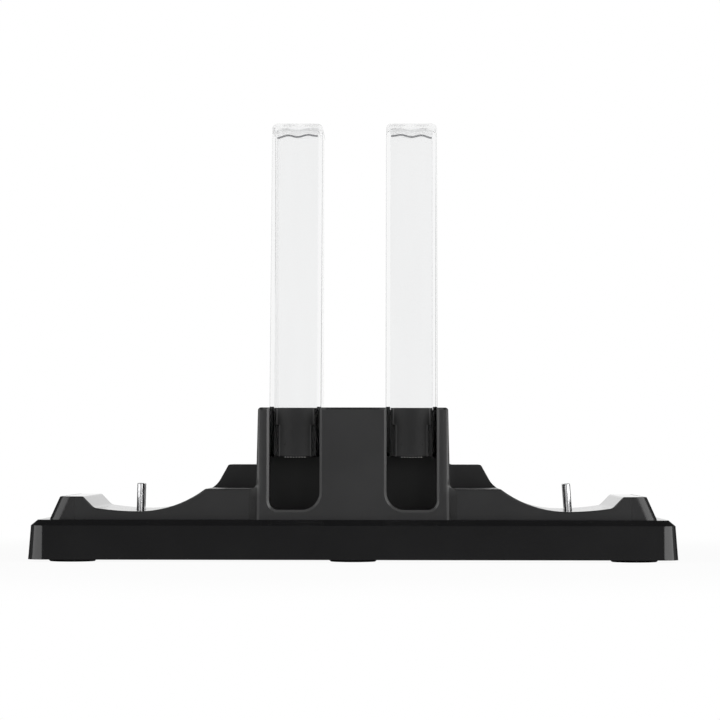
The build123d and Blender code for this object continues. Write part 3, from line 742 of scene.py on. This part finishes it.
for side, sign in (("left", -1), ("right", 1)):
    grow(CONTACT_ROW, f"rail_blades_{side}", "contact_metal", [f"rail_contacts_{side}"],
         Place=Vector((sign * SLOT_X, RAIL_CONTACTS["y"], RAIL_CONTACTS["top"])) * MM, Turn=(math.pi, 0.0, 0.0),
         Length=RAIL_CONTACTS["length"] * MM)
    for face, way in (("inner", -1), ("outer", 1)):
        set_in = way * (PLUG["half_mouth"] - TOUCH) - way * FINE_ROW["Thickness"] / MM / 2
        turn = plug_turn(side) @ Matrix.Rotation(math.pi / 2, 4, "Z")
        place = plug_turn(side) @ (Vector((set_in, 0, PLUG["root"])) * MM)
        grow(CONTACT_ROW, f"plug_row_{side}_{face}", "contact_metal", Place=place, Turn=Vector(turn.to_euler()),
             Length=PLUG["length"] * MM, **FINE_ROW)
for face, way in (("lower", -1), ("upper", 1)):
    proud = way * (INLET["half_tongue"] + TOUCH + FINE_ROW["Thickness"] / MM / 2)
    grow(CONTACT_ROW, f"inlet_row_{face}", "contact_metal", Place=Vector((0, INLET["root"], INLET["z"] + proud)) * MM,
         Turn=(-math.pi / 2, 0.0, 0.0), Length=INLET["length"] * MM, **FINE_ROW)

# %% [markdown]
# The six rubber feet are moulded with a ring groove in the sole, which grips like a small suction cup. One foot is
# drawn out of a disc, step by step from its top down to the sole, and set out on a grid of three by two.

# %% Rubber feet
FOOT = {"Radius": 7.5 * MM, "Height": 1.6 * MM, "Edge": 0.4 * MM, "Groove_Outer": 5.2 * MM, "Groove_Inner": 3.9 * MM,
        "Groove_Depth": 0.35 * MM}
FOOT_SIDES = 64


def rubber_feet():
    tree, size = recipe("rubber_feet", **FOOT, Spread_X=0.1, Spread_Y=0.1)
    disc = add(tree, "GeometryNodeMeshCircle", [("fill_type", "NGON")], Vertices=FOOT_SIDES, Radius=size["Radius"])[0]
    disc = add(tree, "GeometryNodeTransform", Geometry=disc, Translation=vector(tree, z=size["Height"]))[0]

    def share(after, before):
        return calculate(tree, "DIVIDE", after, before)

    def down(value):
        return calculate(tree, "MULTIPLY", value, -1.0)

    sole = calculate(tree, "SUBTRACT", size["Radius"], size["Edge"])
    steps = [
        (down(calculate(tree, "SUBTRACT", size["Height"], size["Edge"])), 1.0),
        (down(size["Edge"]), share(sole, size["Radius"])),
        (0.0, share(size["Groove Outer"], sole)),
        (size["Groove Depth"], 0.97),
        (0.0, share(size["Groove Inner"], size["Groove Outer"])),
        (down(size["Groove Depth"]), 0.96),
    ]
    drawn_down = drawn_out(tree, disc, True, steps)
    outward = add(tree, "GeometryNodeFlipFaces", Mesh=drawn_down)[0]
    both = tree.nodes.new("GeometryNodeJoinGeometry")
    for part in (disc, outward):
        link(tree, part, both.inputs[0])
    foot = add(tree, "GeometryNodeMergeByDistance", Geometry=both.outputs[0], Distance=0.001 * MM)[0]
    places = add(tree, "GeometryNodeMeshGrid", Size_X=size["Spread X"], Size_Y=size["Spread Y"], Vertices_X=3,
                 Vertices_Y=2)["Mesh"]
    return close(tree, set_out(tree, places, foot, size["Finish"]))


foot_names = [name for name in frame["nodes"] if name.startswith("foot_")]
foot_centres = [sum((Vector(c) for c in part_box(name)), Vector()) / 2 for name in foot_names]
grow(rubber_feet(), "rubber_feet", "foot_rubber", foot_names,
     **{f"Spread_{axis}": max(c[i] for c in foot_centres) - min(c[i] for c in foot_centres)
        for i, axis in enumerate("XY")})

# %% [markdown]
# Under each post stand two lights that shine up into it. Each is a pale body with a lens that swells out of its top.

# %% Lights
def post_lights():
    tree, size = recipe("post_lights", Length=3.5 * MM, Width=2.8 * MM, Body=0.9 * MM, Lens=1.0 * MM, Spread_X=0.01,
                        Spread_Y=0.01, Place=(0.0, 0.0, 0.0))
    body = add(tree, "GeometryNodeMeshCube", Size=vector(tree, size["Width"], size["Length"], size["Body"]))["Mesh"]
    lifted = vector(tree, z=calculate(tree, "MULTIPLY", size["Body"], 0.5))
    body = add(tree, "GeometryNodeTransform", Geometry=body, Translation=lifted)[0]
    rise = [calculate(tree, "MULTIPLY", size["Lens"], part) for part in (0.5, 0.32, 0.18)]
    light = drawn_out(tree, body, upward(tree), [(0.0, 0.84), (rise[0], 0.94), (rise[1], 0.84), (rise[2], 0.7)])
    places = add(tree, "GeometryNodeMeshGrid", Size_X=size["Spread X"], Size_Y=size["Spread Y"], Vertices_X=2,
                 Vertices_Y=2)["Mesh"]
    places = add(tree, "GeometryNodeTransform", Geometry=places, Translation=size["Place"])[0]
    return close(tree, set_out(tree, places, light, size["Finish"]))


LIGHT_ROWS = (0.0, 12.0)
LIGHT_FOOT = 29.2
grow(post_lights(), "light_lenses", "light_lens", ["post_lights_left", "post_lights_right"], Spread_X=2 * SLOT_X * MM,
     Spread_Y=(LIGHT_ROWS[1] - LIGHT_ROWS[0]) * MM, Place=Vector((0, sum(LIGHT_ROWS) / 2, LIGHT_FOOT)) * MM)

# %% [markdown]
# Near the top of each post the photograph shows one thin, dark, wavy line. It is drawn here as a thin bead on the inner
# side of the front wall, tinted dark: painted shade that stands in for the dark that the wavy top of the hollow
# refracts. The bead sags in the middle, droops at its outer end and fades out at both ends. A line is bent to that wave
# and swept with a small round section, thinner towards the ends.

# %% Dark lines in the posts
def painted_dark_line():
    tree, size = recipe("painted_dark_line", Half=6.6 * MM, Sag=0.6 * MM, Tilt=0.35 * MM, Radius=0.3 * MM,
                        Place=(0.0, 0.0, 0.0), Points=65)
    ends = [vector(tree, calculate(tree, "MULTIPLY", size["Half"], way)) for way in (-1.0, 1.0)]
    line = add(tree, "GeometryNodeCurvePrimitiveLine", Start=ends[0], End=ends[1])[0]
    line = add(tree, "GeometryNodeResampleCurve", Curve=line, Count=size["Points"])[0]
    where = add(tree, "ShaderNodeSeparateXYZ", Vector=add(tree, "GeometryNodeInputPosition")[0])["X"]
    along = calculate(tree, "DIVIDE", where, size["Half"])
    wave = calculate(tree, "COSINE", calculate(tree, "MULTIPLY", along, 2 * math.pi), 0.0)
    sag = calculate(tree, "MULTIPLY", calculate(tree, "ADD", wave, 1.0),
                    calculate(tree, "MULTIPLY", size["Sag"], -0.5))
    lift = calculate(tree, "MULTIPLY", calculate(tree, "MULTIPLY", along, calculate(tree, "ABSOLUTE", along, 0.0)),
                     calculate(tree, "MULTIPLY", size["Tilt"], -1.0))
    bent = vector(tree, z=calculate(tree, "ADD", sag, lift))
    line = add(tree, "GeometryNodeSetPosition", Geometry=line, Offset=bent)[0]
    fade = calculate(tree, "SUBTRACT", 1.0, calculate(tree, "POWER", calculate(tree, "ABSOLUTE", along, 0.0), 3.0))
    line = add(tree, "GeometryNodeSetCurveRadius", Curve=line, Radius=calculate(tree, "MAXIMUM", fade, 0.08))[0]
    ring = add(tree, "GeometryNodeCurvePrimitiveCircle", Resolution=10, Radius=size["Radius"])[0]
    bead = add(tree, "GeometryNodeCurveToMesh", Curve=line, Profile_Curve=ring, Fill_Caps=True)[0]
    bead = add(tree, "GeometryNodeTransform", Geometry=bead, Translation=size["Place"])[0]
    plain = add(tree, "GeometryNodeRealizeInstances", Geometry=bead)[0]
    return close(tree, add(tree, "GeometryNodeSetMaterial", Geometry=plain, Material=size["Finish"])[0])


DARK_LINE_BEAD = painted_dark_line()
DARK_LINE_PLACE = (SLOT_X, -3.85, 138.2)
DARK_LINE_TILT = 0.35
for side, sign in (("left", -1), ("right", 1)):
    x, y, z = DARK_LINE_PLACE
    grow(DARK_LINE_BEAD, f"flow_line_{side}", "clear_plastic", look="painted_dark_line", Place=Vector((sign * x, y, z)) * MM,
         Tilt=sign * DARK_LINE_TILT * MM)

# %% [markdown]
# Last, the dressed dock's box is measured, and by how much its size differs from the solids' box along each axis is
# printed. The dressed dock has to stay inside the solids' box.

# %% Compare the boxes and finish
visual_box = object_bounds()
lengths = zip(cad_box[1] - cad_box[0], visual_box[1] - visual_box[0])
print("grown by mm:", [round((b - a) / MM, 3) for a, b in lengths])
